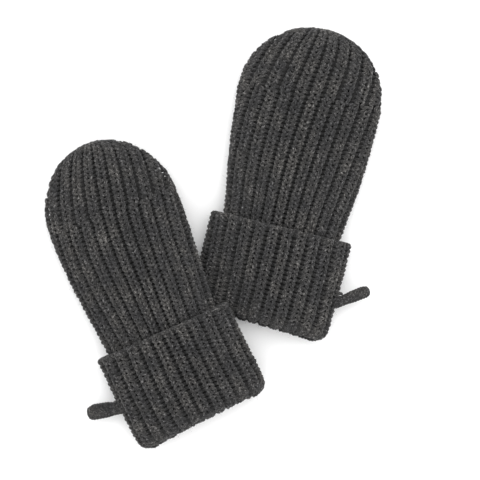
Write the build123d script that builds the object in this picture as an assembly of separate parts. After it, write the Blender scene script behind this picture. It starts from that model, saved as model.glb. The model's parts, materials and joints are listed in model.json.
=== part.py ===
"""A pair of thumbless rib-knit mittens, laid flat, each with a turned-up cuff and a hanging loop.

Each mitten is a flattened knitted tube along a gently curved centreline. A place on it is (s, a, z):
s along the centreline from the wrist end, a across it and z up. The left mitten rests on a corner of
the right one's cuff, which it presses flatter, and is lifted there.
"""
from build123d import *
from dataclasses import dataclass
import math
import os

# The knit
layer = 2.6  # one layer of rib knit
layer_gap = 0.4  # between the hand and the cuff turned up over it
hollow = 5.4  # height of the hollow inside the cuff
tip_hollow = 2.4  # height of the hollow where the tip seam closes it
roundness = 2.6  # exponent of the flattened tube's section: 2 is an ellipse, more is squarer
seam_width = 1.3  # the sewn line down each side
seam_gap = 0.1  # on each side of a seam
settle = 0.4  # how far the underside is pressed flat by its own weight

# Both mittens
cuff_height = 44.6
cuff_corner = 5.5  # radius of the cuff's lower corners, seen from above
edge_height = 1.5  # the cast-on chain along the cuff's top
edge_bulge = 0.35
hand_sink = 22.0  # the hand comes down off the cuff's lower layer over this length
tip_drop = 36.0  # the hand gets thinner over this length before its tip

# Loops and their stitches
tape = 1.6  # thickness of the knitted tape
loop_reach = 14.8  # from the cuff's side to the loop's far end
loop_hollow = 3.0
loop_droop = 9.0  # degrees below level
loop_clearance = 0.4
tack_thickness = 1.0
tack_height = 3.2
stitch_gap = 0.1

# How the left mitten lies on the right one
rest_clearance = 0.7
drape_reach = 27.0  # the left mitten comes down to the floor this far from the right cuff
pressed = 0.45  # share of its height that the right cuff's corner loses
press_flat = 15.0  # the corner is pressed evenly this far
press_reach = 42.0  # and not at all beyond this


@dataclass
class Mitten:
    """One mitten's place and sizes. outer is the side of its loop: +1 is to the right of its centreline."""

    name: str
    wrist: tuple
    heading: float
    tip_heading: float
    length: float
    neck_width: float
    hand_width: float
    cuff_width: float
    tip_length: float
    outer: int
    loop_at: float
    loop_lean: float
    loop_width: float


right = Mitten(
    name="right", wrist=(18.5, -36.7), heading=16.0, tip_heading=9.0, length=131.4,
    neck_width=51.8, hand_width=62.8, cuff_width=61.4, tip_length=31.2,
    outer=1, loop_at=21.2, loop_lean=36.0, loop_width=5.6)
left = Mitten(
    name="left", wrist=(-2.8, -78.2), heading=-27.3, tip_heading=-19.0, length=130.6,
    neck_width=51.0, hand_width=58.2, cuff_width=60.9, tip_length=33.0,
    outer=-1, loop_at=22.5, loop_lean=15.0, loop_width=7.2)

cuff_rise = layer + layer_gap + layer + hollow / 2  # half the cuff's thickness
hand_rise = layer + (hollow + layer + layer_gap) / 2  # half the hand's thickness
tip_rise = layer + tip_hollow / 2


def ease(t):
    """0 to 1, level at both ends."""
    t = min(1.0, max(0.0, t))
    return t * t * (3 - 2 * t)


def spread(first, last, count):
    return [first + (last - first) * i / count for i in range(count + 1)]


def station(m, s):
    """The centreline's point and heading at s: the heading turns evenly from wrist to tip."""
    start, turn = math.radians(m.heading), math.radians(m.tip_heading - m.heading)
    now, radius = start + turn * s / m.length, m.length / turn
    x = m.wrist[0] + radius * (math.cos(start) - math.cos(now))
    y = m.wrist[1] + radius * (math.sin(now) - math.sin(start))
    return x, y, now


def in_cuff_frame(m, x, y):
    """A point's (s, a) by the straight frame of the mitten's cuff."""
    dx, dy, h = x - m.wrist[0], y - m.wrist[1], math.radians(m.heading)
    return dx * math.sin(h) + dy * math.cos(h), dx * math.cos(h) - dy * math.sin(h)


def pressed_share(x, y):
    """How much of its height the right mitten keeps at x, y, next to the corner that carries the left one."""
    s, a = in_cuff_frame(right, x, y)
    away = math.hypot(s, a + right.cuff_width / 2)
    return 1 - pressed * (1 - ease((away - press_flat) / (press_reach - press_flat)))


def drape(x, y):
    """The share of the full lift that the left mitten has at x, y, by its distance from the right cuff."""
    s, a = in_cuff_frame(right, x, y)
    out_s = max(-s, 0, s - cuff_height - edge_height)
    return 1 - ease(math.hypot(out_s, max(0, abs(a) - right.cuff_width / 2)) / drape_reach)


def place(m, s, a, z):
    x, y, now = station(m, s)
    x, y, z = x + a * math.cos(now), y - a * math.sin(now), z - settle
    z = z * pressed_share(x, y) if m is right else z + lift * drape(x, y)
    return Vector(x, y, z)


# Each profile gives a section's half-width, its half-height and the height of its middle at s.
def cuff_outside(m, s, grow=0.0):
    """The cuff's outside, with its lower corners and its fold rounded."""
    corner = cuff_corner - math.sqrt(cuff_corner**2 - max(0, cuff_corner - s) ** 2)
    fold = layer - math.sqrt(layer**2 - max(0, layer - s) ** 2)
    return m.cuff_width / 2 - corner + grow, cuff_rise - fold + grow, cuff_rise


def grown_cuff(by):
    """A profile that stands off the cuff's outside."""
    return lambda m, s: cuff_outside(m, s, by)


def cuff_inside(m, s):
    return cuff_outside(m, s)[0] - layer, cuff_rise - layer, cuff_rise


def hand_half_width(m, s):
    """From inside the cuff to the narrower neck at its top, out to full width, then a rounded tip."""
    widest, neck = m.length - m.tip_length, m.neck_width / 2
    if s > widest:
        return m.hand_width / 2 * math.sqrt(max(0, 1 - ((s - widest) / m.tip_length) ** 2))
    if s > cuff_height:
        t = (s - cuff_height) / (widest - cuff_height)
        return neck + (m.hand_width / 2 - neck) * math.sin(t * math.pi / 2) ** 1.2
    inside = cuff_inside(m, s)[0] - layer_gap
    return inside + (neck - inside) * ease(s / cuff_height)


def thinning(m, s):
    """The hand's half-height: full, then falling to nothing at the tip as a rounded end."""
    t = max(0, s - (m.length - tip_drop)) / tip_drop
    return hand_rise * max(0, 1 - t**2.4) ** (1 / 2.4)


def hand_outside(m, s):
    sunk = ease((s - cuff_height - edge_height) / hand_sink)
    full = thinning(m, s)
    rise = (cuff_rise - layer - layer_gap) * (1 - sunk) + full * sunk
    rests = (full**6 + tip_rise**6) ** (1 / 6)
    return hand_half_width(m, s), rise, cuff_rise * (1 - sunk) + rests * sunk


def hand_inside(m, s):
    half_width, rise, middle = hand_outside(m, s)
    return half_width - layer, rise - layer, middle


def hollow_profile(m, s):
    """The hollow's section, carried straight through the fold."""
    return hand_inside(m, max(s, layer))


def tube_point(m, s, profile, angle):
    """A point of a section: a superellipse, with angle 0 at the side a > 0 and 90 degrees on top."""
    half_width, rise, middle = profile(m, s)
    c, n = math.cos(angle), math.sin(angle)
    a = half_width * math.copysign(abs(c) ** (2 / roundness), c)
    z = middle + rise * math.copysign(abs(n) ** (2 / roundness), n)
    return place(m, s, a, z)


def side_angle(m, s, profile, height):
    """The angle at which a section is at that height above its middle, near the side a > 0."""
    return math.asin((height / profile(m, s)[1]) ** (roundness / 2))


def strip(m, stations, outside, inside, part, width=seam_width):
    """A curved slab between two profiles: the top or bottom half, or a band at side +1 or -1."""
    sections = []
    for s in stations:
        curves = []
        for profile in (outside, inside):
            if part in ("top", "bottom"):
                low = side_angle(m, s, profile, seam_width / 2 + seam_gap)
                first = low if part == "top" else low + math.pi
                angles = spread(first, first + math.pi - 2 * low, 14)
            else:
                low = side_angle(m, s, profile, width / 2)
                middle = 0 if part > 0 else math.pi
                angles = spread(middle - low, middle + low, 2)
            curves.append(Spline(*[tube_point(m, s, profile, t) for t in angles]))
        out, within = curves
        sections.append(Wire([out, Line(out @ 1, within @ 1), within, Line(within @ 0, out @ 0)]))
    return Solid.make_loft(sections)


def closed_tube(m, stations, profile):
    """The whole inside of a profile, as one solid."""
    sections = []
    for s in stations:
        halves = []
        for start in (0, math.pi):
            angles = spread(start, start + math.pi, 14)
            halves.append(Spline(*[tube_point(m, s, profile, t) for t in angles]))
        sections.append(Wire(halves))
    return Solid.make_loft(sections)


def tip_close(m):
    """Where the tip seam starts: the hand is as thin there as its two layers and the last of the hollow."""
    t = (1 - (tip_rise / hand_rise) ** 2.4) ** (1 / 2.4)
    return m.length - tip_drop * (1 - t)


def tip_stations(m, first, last, count):
    """Stations that crowd towards the rounded tip."""
    widest = m.length - m.tip_length
    turns = [math.asin((s - widest) / m.tip_length) for s in (first, last)]
    return [widest + m.tip_length * math.sin(t) for t in spread(*turns, count)]


def cuff_stations():
    """Above the fold, where the cuff and the hand inside it run side by side."""
    return [layer, 2 * layer, *spread(4 * layer, cuff_height, 8)]


def hand_stations(m):
    widest = m.length - m.tip_length
    along = spread(cuff_height, widest, 12) + tip_stations(m, widest, tip_close(m), 6)[1:]
    return cuff_stations() + along[1:]


def trimmed(solid):
    """The solid above the floor, which flattens what lies on it."""
    return solid & Pos(0, 0, 200) * Box(800, 800, 400)


def cuff_strip(m, part):
    """The turned-up layer and, below it, the fold that joins it to the hand's layer."""
    turned_up = strip(m, cuff_stations(), cuff_outside, cuff_inside, part)
    fold = strip(m, [0, layer / 8, layer / 3, layer], cuff_outside, hollow_profile, part)
    return turned_up + fold


def hand_strip(m, part):
    return strip(m, hand_stations(m), hand_outside, hand_inside, part)


def cuff_edge(m):
    """The cast-on chain, a ring a little proud of the cuff."""
    stations = spread(cuff_height, cuff_height + edge_height, 2)
    ring = closed_tube(m, stations, grown_cuff(edge_bulge))
    return ring - closed_tube(m, [stations[0] - 1, *stations, stations[-1] + 1], cuff_inside)


def tip_seam(m):
    return closed_tube(m, tip_stations(m, tip_close(m), m.length - 0.15, 6), hand_outside)


def loop_tack(m):
    """The stitches that hold the loop: a small pad on the cuff's side."""
    ends = spread(m.loop_at - m.loop_width / 2, m.loop_at + m.loop_width / 2, 2)
    outside, inside = grown_cuff(stitch_gap + tack_thickness), grown_cuff(stitch_gap)
    return strip(m, ends, outside, inside, m.outer, tack_height)


def loop_frame(m):
    """The loop's plane: origin at its sewn root, x along the loop, z up across its two runs."""
    barrel = tape  # two runs of tape, pressed together, turn about their middle
    out = stitch_gap + tack_thickness + loop_clearance + barrel
    out += m.loop_width / 2 * math.sin(math.radians(m.loop_lean))
    half_width, _, middle = cuff_outside(m, m.loop_at)
    now = station(m, m.loop_at)[2]
    across = math.degrees(now) if m.outer > 0 else math.degrees(now) + 180
    yaw = -across + m.outer * m.loop_lean
    root = place(m, m.loop_at, m.outer * (half_width + out), middle)
    return Location(root, (0, 0, yaw)) * Rot(0, loop_droop, 0), out


def hanging_loop(m):
    """Knitted tape folded double: a ring seen from the side, rounded at its end when seen from above."""
    frame, out = loop_frame(m)
    far = loop_reach - out
    bend = loop_hollow / 2 + tape
    side = make_hull([*Circle(tape).edges(), *(Pos(far - bend, 0) * Circle(bend)).edges()])
    eye = make_hull([
        *(Pos(2.2 * tape, 0) * Circle(0.2)).edges(),
        *(Pos(far - bend, 0) * Circle(loop_hollow / 2)).edges(),
    ])
    tape_ring = extrude(Plane.XZ * (side - eye), m.loop_width / 2, both=True)
    seen = make_hull([
        *(Pos(-tape, 0) * Rectangle(0.01, m.loop_width)).edges(),
        *(Pos(far - m.loop_width / 2.2, 0) * Circle(m.loop_width / 2.2)).edges(),
    ])
    return frame * (tape_ring & extrude(seen, 2 * bend, both=True))


def needed_lift():
    """How far the left mitten is raised, so that its underside clears the right cuff everywhere."""
    need = 0.0
    for s in spread(0, left.length * 0.8, 60):
        for profile in (cuff_outside, hand_outside):
            if profile is cuff_outside and s > cuff_height + edge_height:
                continue
            half_width, rise, middle = profile(left, s)
            for share in spread(-1, 1, 60):
                x, y, now = station(left, s)
                x, y = x + share * half_width * math.cos(now), y - share * half_width * math.sin(now)
                under = middle - rise * (1 - abs(share) ** roundness) ** (1 / roundness)
                across, high, centre = cuff_outside(right, cuff_height)
                rs, ra = in_cuff_frame(right, x, y)
                if 0 <= rs <= cuff_height + edge_height and abs(ra) < across:
                    top = centre + high * (1 - (abs(ra) / across) ** roundness) ** (1 / roundness)
                    need = max(need, top * pressed_share(x, y) - under + rest_clearance)
    return need


lift = needed_lift()

parts = {}
for m in (right, left):
    parts[f"{m.name}_hand_back"] = hand_strip(m, "top")
    parts[f"{m.name}_hand_palm"] = trimmed(hand_strip(m, "bottom"))
    parts[f"{m.name}_cuff_front"] = cuff_strip(m, "top")
    parts[f"{m.name}_cuff_back"] = trimmed(cuff_strip(m, "bottom"))
    parts[f"{m.name}_cuff_edge"] = trimmed(cuff_edge(m))
    for name, side in (("outer_seam", m.outer), ("inner_seam", -m.outer)):
        parts[f"{m.name}_{name}"] = Compound([hand_strip(m, side), cuff_strip(m, side)])
    parts[f"{m.name}_tip_seam"] = trimmed(tip_seam(m))
    parts[f"{m.name}_loop_tack"] = loop_tack(m)
    parts[f"{m.name}_hanging_loop"] = hanging_loop(m)

# The origin is the middle of the pair's outline, on the floor.
box = Compound(list(parts.values())).bounding_box()
origin = Pos(-box.center().X, -box.center().Y, 0)

os.makedirs("parts", exist_ok=True)
for name, solid in parts.items():
    export_step(origin * solid, f"parts/{name}.step")
print("lift", round(lift, 2), "size", box.size, "centre", box.center())
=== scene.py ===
import json
import math
from dataclasses import dataclass

import bpy
import numpy as np
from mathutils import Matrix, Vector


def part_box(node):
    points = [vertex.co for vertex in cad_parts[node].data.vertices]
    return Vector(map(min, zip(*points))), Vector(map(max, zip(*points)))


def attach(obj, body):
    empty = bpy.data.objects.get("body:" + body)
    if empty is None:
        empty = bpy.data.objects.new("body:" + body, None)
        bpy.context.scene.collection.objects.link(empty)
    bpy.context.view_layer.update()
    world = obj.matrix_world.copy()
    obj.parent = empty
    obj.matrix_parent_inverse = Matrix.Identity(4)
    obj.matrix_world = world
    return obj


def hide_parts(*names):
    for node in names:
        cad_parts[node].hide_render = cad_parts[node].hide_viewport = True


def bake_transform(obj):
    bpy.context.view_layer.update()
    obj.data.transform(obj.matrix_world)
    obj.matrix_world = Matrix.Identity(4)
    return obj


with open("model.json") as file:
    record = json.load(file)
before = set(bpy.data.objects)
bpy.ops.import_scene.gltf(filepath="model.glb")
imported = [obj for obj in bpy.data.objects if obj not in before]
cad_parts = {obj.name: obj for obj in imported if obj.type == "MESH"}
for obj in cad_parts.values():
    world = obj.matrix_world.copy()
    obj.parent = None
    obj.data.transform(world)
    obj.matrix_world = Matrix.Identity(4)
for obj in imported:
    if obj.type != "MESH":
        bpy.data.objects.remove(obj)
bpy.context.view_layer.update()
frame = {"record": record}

# ------------------------------------------------------------------ The hands
# Each hand is a flattened tube of one-by-one rib in thick, softly spun charcoal wool, round at its tip, without a
# thumb. Every course is one yarn that rises over each ridge and dips through each valley. The left hand's wrist
# end rests on a corner of the right one's cuff.
MM = 0.001
mounts = {m["name"]: m for m in frame["record"]["mounts"]}
layer = 2.6  # one layer of rib knit
layer_gap = 0.4  # between the hand and the cuff turned up over it
hollow = 5.4  # height of the hollow inside the cuff
cuff_height = 44.6
cuff_corner = 5.5
hand_sink = 22.0  # the hand comes down off the cuff over this length
tip_drop = 36.0  # the hand gets thinner over this length before its tip
roundness = 2.6  # the power of the tube's superellipse
cuff_rise = 2 * layer + layer_gap + hollow / 2
hand_rise = layer + (hollow + layer + layer_gap) / 2
tip_rise = layer + 1.2
settle = 0.4  # how far the underside is pressed flat by its own weight
lift = 7.5  # how high the right cuff's corner carries the left mitten
drape_reach = 27.0  # the left mitten comes down to the floor this far from the right cuff
pressed = 0.45  # share of its height that the right cuff's corner loses
press_flat = 15.0  # the corner is pressed evenly this far
press_reach = 42.0  # and not at all beyond this


@dataclass
class Mitten:
    """One mitten. outer is the side of its loop, hand_ribs and cuff_ribs its ridges across one face. Beyond
    twist_from its ribs turn slowly round the tube, by twist ribs in the next 60."""

    name: str
    neck_width: float
    hand_width: float
    cuff_width: float
    tip_length: float
    outer: int
    hand_ribs: int
    cuff_ribs: int
    twist: float
    twist_from: float

    def __post_init__(self):
        wrist, tip = mounts[f"{self.name}_wrist_opening"], mounts[f"{self.name}_tip"]
        self.wrist = np.array(wrist["pos_m"][:2]) / MM
        self.heading = math.atan2(-wrist["axis"][0], -wrist["axis"][1])
        self.turn = math.atan2(tip["axis"][0], tip["axis"][1]) - self.heading
        chord = math.dist(self.wrist, np.array(tip["pos_m"][:2]) / MM)
        self.length = chord * (self.turn / 2) / math.sin(self.turn / 2)
        self.widest = self.length - self.tip_length


right = Mitten("right", 51.8, 62.8, 61.4, 31.2, 1, 11, 11, 0.9, 45.0)
left = Mitten("left", 51.0, 58.2, 60.9, 33.0, -1, 11, 11, 1.3, 70.0)


def ease(t):
    """0 to 1, level at both ends: 3 t squared less 2 t cubed."""
    t = np.clip(t, 0, 1)
    return t * t * (3 - 2 * t)


def station(m, s):
    """The centreline at s, an arc whose heading turns evenly: its point and its heading."""
    now, radius = m.heading + m.turn * s / m.length, m.length / m.turn
    x = m.wrist[0] + radius * (math.cos(m.heading) - np.cos(now))
    y = m.wrist[1] + radius * (np.sin(now) - math.sin(m.heading))
    return x, y, now


def in_right_cuff(x, y):
    """(s, a) of a point by the straight frame of the right cuff."""
    dx, dy, h = x - right.wrist[0], y - right.wrist[1], right.heading
    return dx * math.sin(h) + dy * math.cos(h), dx * math.cos(h) - dy * math.sin(h)


def place(m, s, a, z):
    """A point in the row frame. The right mitten is pressed flatter near the corner that carries the left one,
    which rises there by how near it is to the right cuff."""
    x, y, now = station(m, s)
    x, y, z = x + a * np.cos(now), y - a * np.sin(now), z - settle
    cs, ca = in_right_cuff(x, y)
    if m is right:
        away = np.hypot(cs, ca + right.cuff_width / 2)
        z = z * (1 - pressed * (1 - ease((away - press_flat) / (press_reach - press_flat))))
    else:
        out_s = np.maximum(np.maximum(-cs, cs - cuff_height - 1.5), 0)
        away = np.hypot(out_s, np.maximum(np.abs(ca) - right.cuff_width / 2, 0))
        z = z + lift * (1 - ease(away / drape_reach))
    return np.stack(np.broadcast_arrays(x, y, z), -1)


def cuff_section(m, s):
    """Half-width, half-height and middle of the cuff's outside, with its lower corners rounded."""
    corner = cuff_corner - np.sqrt(cuff_corner**2 - np.clip(cuff_corner - s, 0, cuff_corner) ** 2)
    return m.cuff_width / 2 - corner, cuff_rise + 0 * s, cuff_rise + 0 * s


def hand_section(m, s):
    """The same for the hand: narrow at the cuff's top, full further out, then a round tip."""
    neck, full = m.neck_width / 2, m.hand_width / 2
    inside = cuff_section(m, s)[0] - layer - layer_gap
    in_cuff = inside + (neck - inside) * ease(s / cuff_height)
    t = np.clip((s - cuff_height) / (m.widest - cuff_height), 0, 1)
    beyond = neck + (full - neck) * np.sin(t * math.pi / 2) ** 1.2
    end = np.clip((s - m.widest) / m.tip_length, 0, 0.9999)
    half_width = np.where(s < cuff_height, in_cuff, beyond) * np.sqrt(1 - end**2)
    thin = np.clip((s - m.length + tip_drop) / tip_drop, 0, 0.9999)
    thick = hand_rise * (1 - thin**2.4) ** (1 / 2.4)
    sunk = ease((s - cuff_height - 1.5) / hand_sink)
    rise = (cuff_rise - layer - layer_gap) * (1 - sunk) + thick * sunk
    middle = cuff_rise * (1 - sunk) + (thick**6 + tip_rise**6) ** (1 / 6) * sunk
    return half_width, rise, middle


def tube(m, section, s, angle, depth):
    """A point of the flattened tube: a superellipse, depth below its outside, angle 0 at the side a > 0."""
    half_width, rise, middle = section(m, s)
    c, n = np.cos(angle), np.sin(angle)
    a = np.maximum(half_width - depth, 0.3) * np.sign(c) * np.abs(c) ** (2 / roundness)
    z = middle + np.maximum(rise - depth, 0.1) * np.sign(n) * np.abs(n) ** (2 / roundness)
    return place(m, s, a, z)


yarn_radius = 0.76
row_pitch = 2.0  # from one course to the next
crown = 1.1  # how far the ridges stand out of the fabric's middle
loop_depth = 0.27
loop_height = 1.25
leg_swing = 0.185  # shares of the rib's width
leg_pull = -0.055
fabric_middle = 1.55  # from the fabric's outside to its middle
backing_thickness = 0.5
fibres_per_rib = 2.2
fibre_radius = 0.035
probes = 241  # places measured round half a tube
rng = np.random.default_rng(7)


def rope(points, outward, radius, crest=1.0, closed=False):
    """A tube of elliptical rings round a path: at each point, radius times cos k of the outward direction made
    square to the path, plus radius times sin k of the cross product. Returns vertices, faces, end caps, UVs in mm
    along and round the yarn, and crest: 1 where the yarn lies on a ridge, 0 deep in a valley, where the wool is
    painted near-black as shade."""
    sides = 6
    if closed:
        along = np.roll(points, -1, 0) - np.roll(points, 1, 0)
    else:
        along = np.gradient(points, axis=0)
    along /= np.linalg.norm(along, axis=1)[:, None]
    aside = np.cross(along, outward)
    aside /= np.linalg.norm(aside, axis=1)[:, None]
    out = np.cross(aside, along)
    k = np.arange(sides) * 2 * math.pi / sides
    radius = np.broadcast_to(radius, (len(points),))[:, None, None]
    ring = np.cos(k)[:, None] * out[:, None] + np.sin(k)[:, None] * aside[:, None]
    verts = (points[:, None] + radius * ring).reshape(-1, 3)
    n = len(points)
    i, j = np.meshgrid(np.arange(n if closed else n - 1), np.arange(sides), indexing="ij")
    i, j = i.ravel(), j.ravel()
    nxt, turn = (i + 1) % n, (j + 1) % sides
    faces = np.stack([i * sides + j, i * sides + turn, nxt * sides + turn, nxt * sides + j], 1)
    run = np.concatenate([[0], np.cumsum(np.linalg.norm(np.diff(points, axis=0), axis=1))])
    run = np.append(run, run[-1] + 0.3)
    round_mm = 2 * math.pi * 0.6 / sides  # a usual yarn is 0.6 in radius
    u = np.stack([run[i], run[i], run[i + 1], run[i + 1]], 1)
    v = np.stack([j, j + 1, j + 1, j], 1) * round_mm
    uvs = np.stack([u, v], -1).reshape(-1, 2) + rng.random(2) * 400
    caps = [] if closed else [list(range(sides - 1, -1, -1)), list(range((n - 1) * sides, n * sides))]
    return verts, faces, caps, uvs, np.repeat(np.broadcast_to(crest, (n,)), sides)


def loose_fibres(points, outward, radius, count):
    """Fibres that stand off a yarn: each starts on its surface at random and bends over, as its start plus its
    length times t along a random outward direction, plus a random bend times t squared, three-sided and tapered."""
    k = rng.integers(2, len(points) - 2, count)
    along = points[k + 1] - points[k]
    out = outward[k] + rng.normal(0, 0.12, (count, 3))
    along, out = (v / np.linalg.norm(v, axis=1)[:, None] for v in (along, out))
    way = out * 0.7 + rng.normal(0, 0.55, (count, 3))
    way /= np.linalg.norm(way, axis=1)[:, None]
    t = np.linspace(0, 1, 4)[None, :, None, None]
    side = np.cross(way, along + 0.01)
    side /= np.linalg.norm(side, axis=1)[:, None]
    turn = np.arange(3) * 2 * math.pi / 3
    ring = np.cos(turn)[:, None] * side[:, None] + np.sin(turn)[:, None] * np.cross(way, side)[:, None]
    length = rng.uniform(0.7, 2.0, (count, 1, 1, 1))
    start = (points[k] + out * (radius[k] * 0.8)[:, None])[:, None, None]
    bend = rng.normal(0, 0.7, (count, 1, 1, 3))
    verts = start + length * t * way[:, None, None] + bend * t**2 + fibre_radius * (1 - 0.7 * t) * ring[:, None]
    i, r, j = (v.ravel() for v in np.meshgrid(np.arange(count), np.arange(3), np.arange(3), indexing="ij"))
    at, nxt = i * 12 + r * 3, (j + 1) % 3
    faces = np.stack([at + j, at + nxt, at + 3 + nxt, at + 3 + j], 1)
    caps = [[b + 2, b + 1, b] for b in range(0, count * 12, 12)]
    caps += [[b + 9, b + 10, b + 11] for b in range(0, count * 12, 12)]
    uvs = np.repeat(rng.random((len(faces), 2)) * 400, 4, axis=0)
    return verts.reshape(-1, 3), faces, caps, uvs, np.ones(count * 12)


def join(chunks):
    """Several such tubes as one: their vertices after each other, their faces counted on."""
    verts, faces, caps, uvs, unshaded_shares, base = [], [], [], [], [], 0
    for v, f, c, uv, crest in chunks:
        verts.append(v)
        faces.append(f + base)
        caps += [[i + base for i in cap] for cap in c]
        uvs.append(uv)
        unshaded_shares.append(crest)
        base += len(v)
    return np.concatenate(verts), np.concatenate(faces), caps, np.concatenate(uvs), np.concatenate(unshaded_shares)


def piece(name, shape, *materials):
    """A mesh object at the origin, from millimetres to metres, smooth, with its UVs in a map called yarn and an
    attribute called crest, by which the wool paints shade into its colour."""
    verts, faces, caps, uvs, crest = shape
    mesh = bpy.data.meshes.new(name)
    n_caps = sum(len(c) for c in caps)
    mesh.vertices.add(len(verts))
    mesh.vertices.foreach_set("co", (verts * MM).astype(np.float32).ravel())
    mesh.loops.add(faces.size + n_caps)
    loops = np.concatenate([faces.ravel(), np.array([i for c in caps for i in c], int)])
    mesh.loops.foreach_set("vertex_index", loops.astype(np.int32))
    sizes = np.array([4] * len(faces) + [len(c) for c in caps])
    mesh.polygons.add(len(sizes))
    mesh.polygons.foreach_set("loop_start", (np.cumsum(sizes) - sizes).astype(np.int32))
    mesh.update(calc_edges=True)
    mesh.polygons.foreach_set("use_smooth", np.ones(len(sizes), bool))
    layer_uv = mesh.uv_layers.new(name="yarn")
    all_uv = np.concatenate([uvs, np.zeros((n_caps, 2))]) if n_caps else uvs
    layer_uv.data.foreach_set("uv", all_uv.astype(np.float32).ravel())
    mesh.attributes.new("crest", "FLOAT", "POINT").data.foreach_set("value", crest.astype(np.float32))
    for material in materials:
        mesh.materials.append(material)
    mesh.update()
    obj = bpy.data.objects.new(name, mesh)
    bpy.context.scene.collection.objects.link(obj)
    return obj


def wander(u, row, size):
    """Slow unevenness of hand knitting: a few sines of the place across and of the row."""
    total = 0
    for k in range(3):
        fu, fr, p = 0.55 + 0.9 * k, 0.23 + 0.31 * k, 1.7 * k + 0.4
        total = total + np.sin(fu * u + fr * row * 2.1 + p) * np.cos(fr * u * 1.3 - fu * row + 2 * p)
    return size * total / 3


def uneven(u, size):
    """Loop by loop unevenness: a random value at every half rib, joined by straight lines."""
    at = np.arange(math.floor(u[0] * 2), math.ceil(u[-1] * 2) + 1) / 2
    return np.interp(u, at, rng.normal(0, size, len(at)).clip(-2 * size, 2 * size))


def hand_path(m):
    """q, the length along the top of the hand, to (s, depth) and the fabric's outward direction in that plane."""
    s = np.linspace(0, m.length - 0.6, 600)
    rise = hand_section(m, s)[1]
    q = np.concatenate([[0], np.cumsum(np.hypot(np.diff(s), np.diff(rise)))])
    slope = np.arctan2(-np.gradient(rise), np.gradient(s))

    def path(t):
        tilt = np.interp(t, q, slope) * (t > q[-1] * 0.7)
        return np.interp(t, q, s), fabric_middle + 0 * t, np.sin(tilt), -np.cos(tilt)

    return path, q[-1]


def ridge(u):
    """The fabric's own wave across the ribs: broad round ridges at whole numbers, deep narrow valleys at the
    halves, as one less a power of how far the absolute cosine of pi u is below one."""
    return 1 - 2.6 * (1 - np.abs(np.cos(math.pi * u))) ** 1.5


def twisted(m, section, s):
    """How many ribs the fabric has turned round the tube at s: grows as the square of the way past its start."""
    way = np.maximum(0, s - m.twist_from) / 60
    return m.twist * way**2 * (section is hand_section)


def rib_knit(m, section, path, rows, half, ribs_at, relief, up=1):
    """Courses of rib yarn over one half of the tube, top (0) or bottom (pi), with half a ridge at each side. With
    t turning once for each rib, the yarn runs across by t plus swings of sin 2t, which opens each V, and sin t.
    It goes up the fabric by cos t, and out of it by the ridge's wave, less cos 2t, which puts the loops' legs in
    front."""
    chunks = []
    for row, q in enumerate(rows):
        s_mid, depth_mid = (float(v) for v in path(np.array(float(q)))[:2])
        probe = np.linspace(0, math.pi, probes)
        line = tube(m, section, np.full(probes, s_mid), probe + half, depth_mid)
        share = np.concatenate([[0], np.cumsum(np.linalg.norm(np.diff(line, axis=0), axis=1))])
        total = share[-1]
        ribs = ribs_at(s_mid, total)
        u = np.linspace(-ribs / 2, ribs / 2, max(8, int(16 * ribs)))
        turned = twisted(m, section, s_mid)
        phase = u + (ribs_at(0, 0) / 2) % 1 + turned
        t = 2 * math.pi * phase
        taper = np.clip((ribs / 2 - np.abs(u)) * 4, 0, 1) if turned else 1
        across = (leg_swing * np.sin(2 * t) + leg_pull * np.sin(t)) * taper
        f = np.clip(0.5 + (u + across) / ribs, 0.0, 1.0)
        y = up * loop_height * np.cos(t) + wander(u, row, 0.22) + uneven(u, 0.13)
        w = relief(s_mid) * (crown * ridge(phase + across) - loop_depth * np.cos(2 * t))
        w = w + wander(u * 1.7, row * 1.3 + 5, 0.14) + uneven(u, 0.11)
        angle = np.interp(f * total, share, probe) + half

        def at(height):
            s, depth, ns, nd = path(q + y)
            return tube(m, section, s + ns * height, angle, depth + nd * height)

        points = at(w)
        outward = at(w + 0.2) - points
        thick = yarn_radius * (1 + wander(u * 2.3, row * 0.9 + 9, 0.1) + uneven(u, 0.07))
        thick = thick * min(1, 0.6 + total / 60)
        # crest from the yarn's height out of the fabric: the deeper in a valley, the more painted shade.
        chunks.append(rope(points, outward, thick, ease((w + 1.2) / 2.2)))
        chunks.append(loose_fibres(points, outward, thick, int(fibres_per_rib * ribs)))
    return chunks


def backing(m, section, path, q0, q1, half, ribs, relief):
    """The yarn hidden behind the loops, as a closed slab half a millimetre thick that follows the ridges' wave
    just below them. Each ring goes across the half tube in front and returns behind; rings run from q0 to q1."""
    q = np.linspace(q0, q1, max(3, int((q1 - q0) / 2) + 1))
    u = np.linspace(-ribs / 2, ribs / 2, ribs * 6 + 1)
    rings = []
    for s, depth, ns, nd in zip(*(np.broadcast_to(v, q.shape) for v in path(q))):
        probe = np.linspace(0, math.pi, 121) + half
        line = tube(m, section, np.full(121, s), probe, depth)
        run = np.concatenate([[0], np.cumsum(np.linalg.norm(np.diff(line, axis=0), axis=1))])
        angle = np.interp((u / ribs + 0.5) * run[-1], run, probe)
        w = relief(s) * (0.55 * ridge(u + (ribs / 2) % 1 + twisted(m, section, s)) - 0.6)
        front = tube(m, section, s + ns * w, angle, depth + nd * w)
        inside = w - backing_thickness
        back = tube(m, section, s + ns * inside, angle, depth + nd * inside)
        rings.append(np.concatenate([front, back[::-1]]))
    n, k = len(q), 2 * len(u)
    i, j = (v.ravel() for v in np.meshgrid(np.arange(n - 1), np.arange(k), indexing="ij"))
    faces = np.stack([i * k + j, (i + 1) * k + j, (i + 1) * k + (j + 1) % k, i * k + (j + 1) % k], 1)
    j = np.arange(len(u) - 1)
    first = np.stack([j, j + 1, k - 2 - j, k - 1 - j], 1)
    faces = np.concatenate([faces, first, first[:, ::-1] + (n - 1) * k])
    verts = np.concatenate(rings)
    uvs = verts[faces.ravel()][:, :2] * 0.9
    # The backing's crest is 0, so it is painted the full near-black shade.
    return verts, faces, [], uvs, np.zeros(len(verts))


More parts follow.
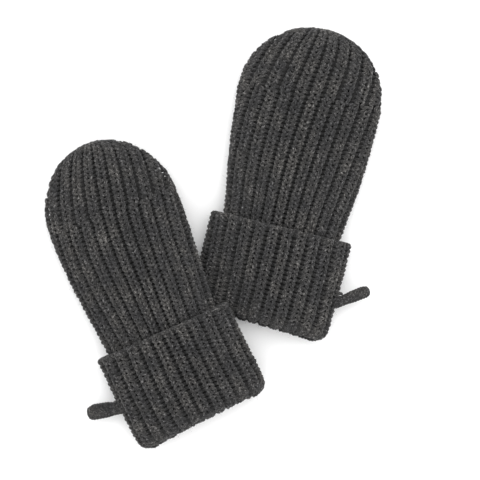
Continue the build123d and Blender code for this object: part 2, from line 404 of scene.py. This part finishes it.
class Finish:
    """One value of a wool finish. + - * on it add Math nodes, and node() adds any other kind of node."""

    def __init__(self, tree, socket=None):
        self.tree, self.socket = tree, socket

    def node(self, kind, settings, inputs, output=0):
        made = self.tree.nodes.new(kind)
        for key, value in settings.items():
            if key == "stops":
                ramp = made.color_ramp
                while len(ramp.elements) < len(value):
                    ramp.elements.new(0.5)
                for element, (position, colour) in zip(ramp.elements, value):
                    element.position, element.color = position, (*colour, 1)
            else:
                setattr(made, key, value)
        for key, value in inputs.items():
            if isinstance(value, Finish):
                self.tree.links.new(value.socket, made.inputs[key])
            else:
                made.inputs[key].default_value = value
        return Finish(self.tree, made.outputs[output]) if made.outputs else made

    def math(self, operation, first, second):
        return self.node("ShaderNodeMath", {"operation": operation}, {0: first, 1: second})

    def __add__(self, other):
        return self.math("ADD", self, other)

    def __sub__(self, other):
        return self.math("SUBTRACT", self, other)

    def __rsub__(self, other):
        return self.math("SUBTRACT", other, self)

    def __mul__(self, other):
        return self.math("MULTIPLY", self, other)

    __radd__, __rmul__ = __add__, __mul__


def wool(name, stops, fleck_size=1.0):
    """Charcoal melange wool: pale, grey and near-black fibres that lie along the yarn and turn with its twist,
    with cloudy dark and light patches over the fabric. Painted shade: where the attribute crest falls, deep in the
    valleys and on the backing, the colour is mixed towards near-black."""
    material = bpy.data.materials.new(name)
    material.use_nodes = True
    material.node_tree.nodes.clear()
    f = Finish(material.node_tree)
    place_mm = f.node(
        "ShaderNodeVectorMath",
        {"operation": "SCALE"},
        {0: f.node("ShaderNodeTexCoord", {}, {}, "Object"), "Scale": 1000.0},
    )
    yarn = f.node("ShaderNodeUVMap", {"uv_map": "yarn"}, {})
    run = f.node("ShaderNodeSeparateXYZ", {}, {0: yarn}, 0)
    turn = f.node("ShaderNodeSeparateXYZ", {}, {0: yarn}, 1)
    wound = turn + run * 0.35

    def fibres(along, aside, detail):
        lie = f.node("ShaderNodeCombineXYZ", {}, {0: run * along, 1: wound * aside})
        return f.node("ShaderNodeTexNoise", {}, {"Vector": lie, "Scale": 1.0, "Detail": detail}, 0)

    streaks = fibres(0.75 / fleck_size, 3.2 / fleck_size, 2.0)
    fine = fibres(2.4, 7.0, 1.0)
    flecks = f.node(
        "ShaderNodeTexNoise", {}, {"Vector": place_mm, "Scale": 1.15 / fleck_size, "Detail": 3.0}, 0
    )
    clouds = f.node("ShaderNodeTexNoise", {}, {"Vector": place_mm, "Scale": 0.12, "Detail": 2.0}, 0)
    shade = streaks * 0.45 + flecks * 0.35 + fine * 0.3 + clouds * 0.12 - 0.11
    grey = f.node("ShaderNodeValToRGB", {"stops": stops}, {0: shade})
    tint = f.node(
        "ShaderNodeValToRGB", {"stops": [(0.35, (1.0, 1.0, 1.03)), (0.65, (1.03, 1.0, 0.96))]}, {0: clouds}
    )
    tinted = f.node(
        "ShaderNodeMix", {"data_type": "RGBA", "blend_type": "MULTIPLY"}, {0: 1.0, 6: grey, 7: tint}, 2
    )
    # Painted shade: a near-black colour is mixed in as crest falls, which darkens the valleys between the ribs and
    # the hidden backing.
    crest = f.node("ShaderNodeAttribute", {"attribute_name": "crest"}, {}, "Fac")
    valley_shade_mix = {0: crest, 6: (0.017, 0.0168, 0.0168, 1), 7: tinted}
    colour = f.node("ShaderNodeMix", {"data_type": "RGBA"}, valley_shade_mix, 2)
    ply = f.node("ShaderNodeMath", {"operation": "SINE"}, {0: turn * 3.3 + run * 2.6})
    height = streaks * 0.5 + fine * 0.35 + ply * 0.12
    bump = f.node("ShaderNodeBump", {}, {"Strength": 0.75, "Distance": 0.0004, "Height": height})
    surface = f.node(
        "ShaderNodeBsdfPrincipled",
        {},
        {
            "Base Color": colour,
            "Roughness": fine * 0.2 + 0.78,
            "Normal": bump,
            "Specular IOR Level": 0.2,
            "Sheen Weight": 0.12,
            "Sheen Roughness": 0.5,
        },
    )
    f.node("ShaderNodeOutputMaterial", {}, {"Surface": surface})
    return material


charcoal = [
    (0.36, (0.006, 0.006, 0.006)),
    (0.45, (0.016, 0.0159, 0.0159)),
    (0.52, (0.034, 0.0337, 0.0337)),
    (0.58, (0.088, 0.0866, 0.086)),
    (0.66, (0.26, 0.256, 0.253)),
]
hand_wool = wool("charcoal_melange_hand", charcoal)


def hand_ribs_at(m):
    """How many ridges fit across one face: all of them up to the widest place, then fewer as they run out."""
    full = hand_section(m, m.widest)[0] * 2.35

    def count(s, total):
        return m.hand_ribs if s < m.widest else m.hand_ribs * min(1, total / full) ** 0.6

    return count


def on_floor(shape):
    """Yarn that would sink into the floor lies flat on it."""
    shape[0][:, 2] = (shape[0][:, 2] + np.hypot(shape[0][:, 2], 0.2)) / 2
    return shape


def hand_relief(s):
    """The share of the full relief: less where the cuff presses on the hand inside it."""
    return 0.6 + 0.4 * ease((s - cuff_height + 4) / 6)


for m in (right, left):
    path, end = hand_path(m)
    count = hand_ribs_at(m)
    for face, half in (("back", 0), ("palm", math.pi)):
        rows = np.append(np.arange(13.5, end - 2.0, row_pitch), end - 1.6)
        courses = rib_knit(m, hand_section, path, rows, half, count, hand_relief)
        courses.append(backing(m, hand_section, path, 13, end - 1.2, half, m.hand_ribs, hand_relief))
        hand = piece(f"{m.name}_hand_{face}_knit", on_floor(join(courses)), hand_wool)
        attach(hand, f"{m.name}_mitten")
        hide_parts(f"{m.name}_hand_{face}")

# ------------------------------------------------------------------ The turned-up cuffs
# The lower third of each tube is turned up over the hand, so its ribs show their other side and its loops point
# the other way. It goes round the fold at the wrist and on up inside, where the hand takes over.
cuff_wool = wool("charcoal_melange_cuff", charcoal)
fold_radius = 1.5
inside_start = -15.2  # where the cuff's inner part ends, as a length back round the fold
fold_rows = [-4.6, -3.3, -2.0, -0.7, 0.9]  # closer courses round the fold


def cuff_path(t):
    """q for the turned-up cuff: outside from the fold up for t > 0, round the fold, then up inside for t < 0."""
    middle = layer + layer_gap / 2  # the fold's middle, from the wrist end and from the outside
    outer, straight = fabric_middle - 0.15, math.pi * fold_radius
    angle = np.clip(-t / fold_radius, 0, math.pi)
    s = middle + 0.2 + np.maximum(t, 0) + np.maximum(-t - straight, 0) - fold_radius * np.sin(angle)
    depth = outer + fold_radius * (1 - np.cos(angle))
    return s, depth, -np.sin(angle), -np.cos(angle)


def lip_path(set_back):
    """The cuff's path with its fold set back from the wrist end, all of it at the fold and none 14 further up.
    The opening's upper lip lies a little behind its lower one."""

    def path(t):
        s, depth, ns, nd = cuff_path(t)
        return s + set_back * (1 - ease(s / 14)), depth, ns, nd

    return path


def cuff_relief(s):
    """The share of the full relief: less round the fold, where the fabric is stretched."""
    return 0.45 + 0.55 * ease((s - 1) / 9)


for m in (right, left):
    for face, half in (("back", 0), ("front", math.pi)):
        rows = np.concatenate([np.arange(inside_start, -5, row_pitch), fold_rows])
        rows = np.concatenate([rows, np.arange(2.8, cuff_height - 5.4, row_pitch)])
        ribs = m.cuff_ribs
        lip = lip_path(0.9 if half == 0 else -0.7)
        courses = rib_knit(m, cuff_section, lip, rows, half, lambda s, total: ribs, cuff_relief, up=-1)
        end = cuff_height - 4.8
        courses.append(backing(m, cuff_section, lip, inside_start, end, half, ribs, cuff_relief))
        cuff = piece(f"{m.name}_cuff_{face}_knit", on_floor(join(courses)), cuff_wool)
        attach(cuff, f"{m.name}_mitten")
        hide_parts(f"{m.name}_cuff_{face}")

# ------------------------------------------------------------------ The cuffs' cast-on edges
# The first course of each cuff, a firm chain of doubled yarn that stands a little proud all round its upper edge.
edge_wool = wool("charcoal_melange_edge", charcoal)


def plied(centre, outward, offset, radius, pitch, closed=False):
    """Two strands laid round a path: each at the offset from it, in the direction outward cos t + aside sin t, where
    t turns once for each pitch along it and starts evenly spaced. Returns their tubes."""
    step = np.roll(centre, -1, 0) - centre if closed else np.diff(centre, axis=0)
    run = np.concatenate([[0], np.cumsum(np.linalg.norm(step, axis=1))])
    total = run[-1]
    turns = max(1, round(total / pitch))
    ts = np.linspace(0, total, turns * 10 + 1)[: -1 if closed else None]
    around = np.concatenate([centre, centre[:1]]) if closed else centre
    outs = np.concatenate([outward, outward[:1]]) if closed else outward
    middle = np.stack([np.interp(ts, run, around[:, k]) for k in range(3)], 1)
    out = np.stack([np.interp(ts, run, outs[:, k]) for k in range(3)], 1)
    along = np.roll(middle, -1, 0) - np.roll(middle, 1, 0) if closed else np.gradient(middle, axis=0)
    along /= np.linalg.norm(along, axis=1)[:, None]
    aside = np.cross(along, out)
    aside /= np.linalg.norm(aside, axis=1)[:, None]
    out = np.cross(aside, along)
    tubes = []
    for start in (0, 0.5):
        t = 2 * math.pi * (ts / total * turns + start)
        offs = np.cos(t)[:, None] * out + np.sin(t)[:, None] * aside
        tubes.append(rope(middle + offset * offs, out, radius, closed=closed))
    return tubes


for m in (right, left):
    probe = np.linspace(0, 2 * math.pi, 1201)[:-1]
    s = np.full(1200, cuff_height - 2.1)
    line = tube(m, cuff_section, s, probe, fabric_middle)
    run = np.cumsum(np.linalg.norm(np.roll(line, -1, 0) - line, axis=1))
    depth = fabric_middle - 0.75 * crown * ridge(run / run[-1] * 2 * m.cuff_ribs) + 0.2
    centre = tube(m, cuff_section, s, probe, depth)
    outward = tube(m, cuff_section, s, probe, depth - 0.2) - centre
    chain = join(plied(centre, outward, 0.5, 0.6, 3.2, closed=True))
    edge = piece(f"{m.name}_cuff_edge_chain", on_floor(chain), edge_wool)
    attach(edge, f"{m.name}_mitten")
    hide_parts(f"{m.name}_cuff_edge")

# ------------------------------------------------------------------ The side seams
# Each tube is knitted flat and sewn up along its sides with the same yarn, doubled: one seam up the hand and one
# up the turned cuff, sunk in the valley between the first and the last rib.
seam_wool = wool("charcoal_melange_seam", charcoal)
for m in (right, left):
    path, end = hand_path(m)
    for side, angle in ((m.outer, "outer"), (-m.outer, "inner")):
        at_side = 0.0 if side > 0 else math.pi
        tubes = []
        for section, way, q in (
            (hand_section, path, np.linspace(14, m.length - tip_drop + 4, 60)),
            (cuff_section, cuff_path, np.linspace(-5, cuff_height - 4.5, 60)),
        ):
            s, depth, ns, nd = way(q)
            centre = tube(m, section, s, at_side, depth + 0.35)
            outward = tube(m, section, s + ns * 0.2, at_side, depth + 0.35 + nd * 0.2) - centre
            tubes += plied(centre, outward, 0.45, 0.55, 3.0)
        seam = piece(f"{m.name}_{angle}_seam_yarn", on_floor(join(tubes)), seam_wool)
        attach(seam, f"{m.name}_mitten")
        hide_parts(f"{m.name}_{angle}_seam")

# ------------------------------------------------------------------ The tip seams
# The open end of the tube is drawn together and sewn, palm to back, round the curve of the fingertips.
tip_wool = wool("charcoal_melange_tip", charcoal)
for m in (right, left):
    close = m.length - tip_drop * (1 - (1 - (tip_rise / hand_rise) ** 2.4) ** (1 / 2.4))
    start = math.asin((close - m.widest) / m.tip_length)
    t = np.linspace(start, math.pi - start, 90)
    inset = 1.1
    s = m.widest + (m.tip_length - inset) * np.sin(t)
    a = (m.hand_width / 2 - inset) * np.cos(t)
    centre = place(m, s, a, hand_section(m, s)[2])
    outward = place(m, s + 0.2 * np.sin(t), a + 0.2 * np.cos(t), hand_section(m, s)[2]) - centre
    stitches = join(plied(centre, outward, 0.5, 0.6, 3.4))
    seam = piece(f"{m.name}_tip_seam_yarn", on_floor(stitches), tip_wool)
    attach(seam, f"{m.name}_mitten")
    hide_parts(f"{m.name}_tip_seam")

# ------------------------------------------------------------------ The hanging loops
# A narrow knitted tape folded double and sewn to the outer side of each cuff, so that the mitten can hang from a
# peg. Its ends go into the side seam, and three wraps of the sewing yarn hold them.
tape = 1.6  # its thickness
tape_tail = 6.5  # how far its ends go into the cuff
tape_wales = 4
loop_width = {"right": 5.6, "left": 7.2}
loop_bend = 1.5 + tape
loop_wool = wool("charcoal_melange_loop", charcoal, 0.8)
joints = {j["name"]: j for j in frame["record"]["behaviour"]["joints"]}


def knit_tape(root, along, aside, up, ends, width, wales):
    """Plain-knit tape on a teardrop path in the plane of along and up: out on top, round the bend, back below.
    Courses cross its width; in each the yarn swings along the path by cos t and across by sin 2t. Its edges curl
    in by a parabola, and it narrows round the bend as the root of one less the reach squared."""
    reach = np.linalg.norm(along)
    along = along / reach
    radius = loop_bend - tape / 2
    lean = math.asin((radius - tape / 2) / reach)
    turn = np.linspace(math.pi / 2 + lean, -math.pi / 2 - lean, 30)
    bend = np.stack([reach + radius * np.cos(turn), radius * np.sin(turn)], 1)
    top = np.stack([np.linspace(-ends, bend[0, 0], 16)[:-1], np.linspace(tape * 0.42, bend[0, 1], 16)[:-1]], 1)
    line = np.concatenate([top, bend, (top * [1, -1])[::-1]])
    run = np.concatenate([[0], np.cumsum(np.linalg.norm(np.diff(line, axis=0), axis=1))])
    chunks = []
    rows = np.arange(0.6, run[-1] - 0.6, 1.3)
    u = np.linspace(-wales / 2, wales / 2, wales * 14)
    t = 2 * math.pi * (u + 0.5 * (wales % 2 == 0))
    for q in rows:
        along_q = q + 0.8 * np.cos(t)
        px, pz = np.interp(along_q, run, line[:, 0]), np.interp(along_q, run, line[:, 1])
        gx = np.interp(along_q + 0.3, run, line[:, 0]) - np.interp(along_q - 0.3, run, line[:, 0])
        gz = np.interp(along_q + 0.3, run, line[:, 1]) - np.interp(along_q - 0.3, run, line[:, 1])
        g = np.hypot(gx, gz) + 1e-9
        nx, nz = -gz / g, gx / g
        round_at = reach + loop_bend - width / 2
        far = np.clip((px - round_at) / (width / 2), 0, 0.93)
        across = (u + 0.2 * np.sin(2 * t)) / wales * (width - 0.9) * np.sqrt(1 - far**2)
        across = across * (0.85 + 0.15 * ease((px + 2) / 4))
        out = 0.2 - 0.3 * np.cos(2 * t) - 1.1 * (2 * u / wales) ** 2 * (1 - 0.7 * far)
        points = (
            root
            + (px + nx * out)[:, None] * along
            + across[:, None] * aside
            + (pz + nz * out)[:, None] * up
        )
        outward = nx[:, None] * along + nz[:, None] * up
        chunks.append(rope(points, outward, 0.43))
    return chunks


for m in (right, left):
    hinge, eye = joints[f"{m.name}_loop_swing"], mounts[f"{m.name}_loop_eye"]
    root = np.array(hinge["pos_m"]) / MM
    along = np.array(eye["pos_m"]) / MM - root
    aside = np.array(eye["axis"])
    up = np.cross(along, aside) / np.linalg.norm(along)
    if up[2] < 0:
        up, aside = -up, -aside
    tape_courses = knit_tape(root, along, aside, up, tape_tail, loop_width[m.name], tape_wales)
    loop = piece(f"{m.name}_loop_tape", join(tape_courses), loop_wool)
    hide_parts(f"{m.name}_hanging_loop")
    unit = along / np.linalg.norm(along)
    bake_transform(loop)

    low, high = (np.array(v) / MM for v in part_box(f"{m.name}_loop_tack"))
    centre = ((low + high) / 2 + root - 4 * unit) / 2
    dx, dy = centre[:2] - m.wrist
    at = dx * math.sin(m.heading) + dy * math.cos(m.heading)
    wraps = []
    for k, shift in enumerate((-1.5, 0.1, 1.6)):
        t = np.linspace(0, 2 * math.pi, 25)[:-1]
        s = at + shift + 0.35 * np.sin(t)
        out = cuff_section(m, s)[0] - 0.9 + 2.5 * np.cos(t)
        z = cuff_section(m, s)[2] + (2.3 - 0.1 * k) * np.sin(t)
        middle_line = place(m, s, m.outer * out, z)
        outward = middle_line - middle_line.mean(0)
        wraps.append(rope(middle_line, outward, 0.5, closed=True))
    tack = piece(f"{m.name}_loop_tack_wraps", join(wraps), loop_wool)
    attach(tack, f"{m.name}_mitten")
    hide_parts(f"{m.name}_loop_tack")

# ------------------------------------------------------------------ Floor, light and camera
# A plain white table, a broad soft light from above on the right, and the even light of a white room. The camera
# looks straight down.
floor_mesh = bpy.data.meshes.new("floor")
floor_mesh.from_pydata([(-2, -2, 0), (2, -2, 0), (2, 2, 0), (-2, 2, 0)], [], [(0, 1, 2, 3)])
floor = bpy.data.objects.new("floor", floor_mesh)
bpy.context.scene.collection.objects.link(floor)
white = bpy.data.materials.new("white_table")
white.use_nodes = True
f = Finish(white.node_tree)
paper = f.node("ShaderNodeTexNoise", {}, {"Scale": 60.0, "Detail": 3.0}, 0)
white.node_tree.nodes["Principled BSDF"].inputs["Roughness"].default_value = 0.9
pale = [(0.3, (0.93, 0.93, 0.93)), (0.7, (0.96, 0.96, 0.96))]
tone = f.node("ShaderNodeValToRGB", {"stops": pale}, {0: paper})
white.node_tree.links.new(tone.socket, white.node_tree.nodes["Principled BSDF"].inputs["Base Color"])
floor_mesh.materials.append(white)

world = bpy.data.worlds.new("white_room")
world.use_nodes = True
world.node_tree.nodes["Background"].inputs["Color"].default_value = (1, 1, 1, 1)
world.node_tree.nodes["Background"].inputs["Strength"].default_value = 1.4
bpy.context.scene.world = world

for name, place_at, size, power in (
    ("overhead", (0.15, 0.45, 1.0), 0.8, 4.2),
    ("side", (-0.7, -0.2, 0.6), 0.6, 1.0),
):
    lamp = bpy.data.lights.new(name, "AREA")
    lamp.size, lamp.energy = size, power
    holder = bpy.data.objects.new(name, lamp)
    holder.location = place_at
    toward = -np.array(place_at) / np.linalg.norm(place_at)
    holder.rotation_euler = (math.acos(-toward[2]), 0, math.atan2(toward[0], -toward[1]))
    bpy.context.scene.collection.objects.link(holder)

camera = bpy.data.objects.new("camera", bpy.data.cameras.new("camera"))
camera.data.lens, camera.data.sensor_width = 85, 36
camera.location = (0.01143, -0.00103, 0.4966)
bpy.context.scene.collection.objects.link(camera)
bpy.context.scene.camera = camera
bpy.context.scene.view_settings.view_transform = "Standard"
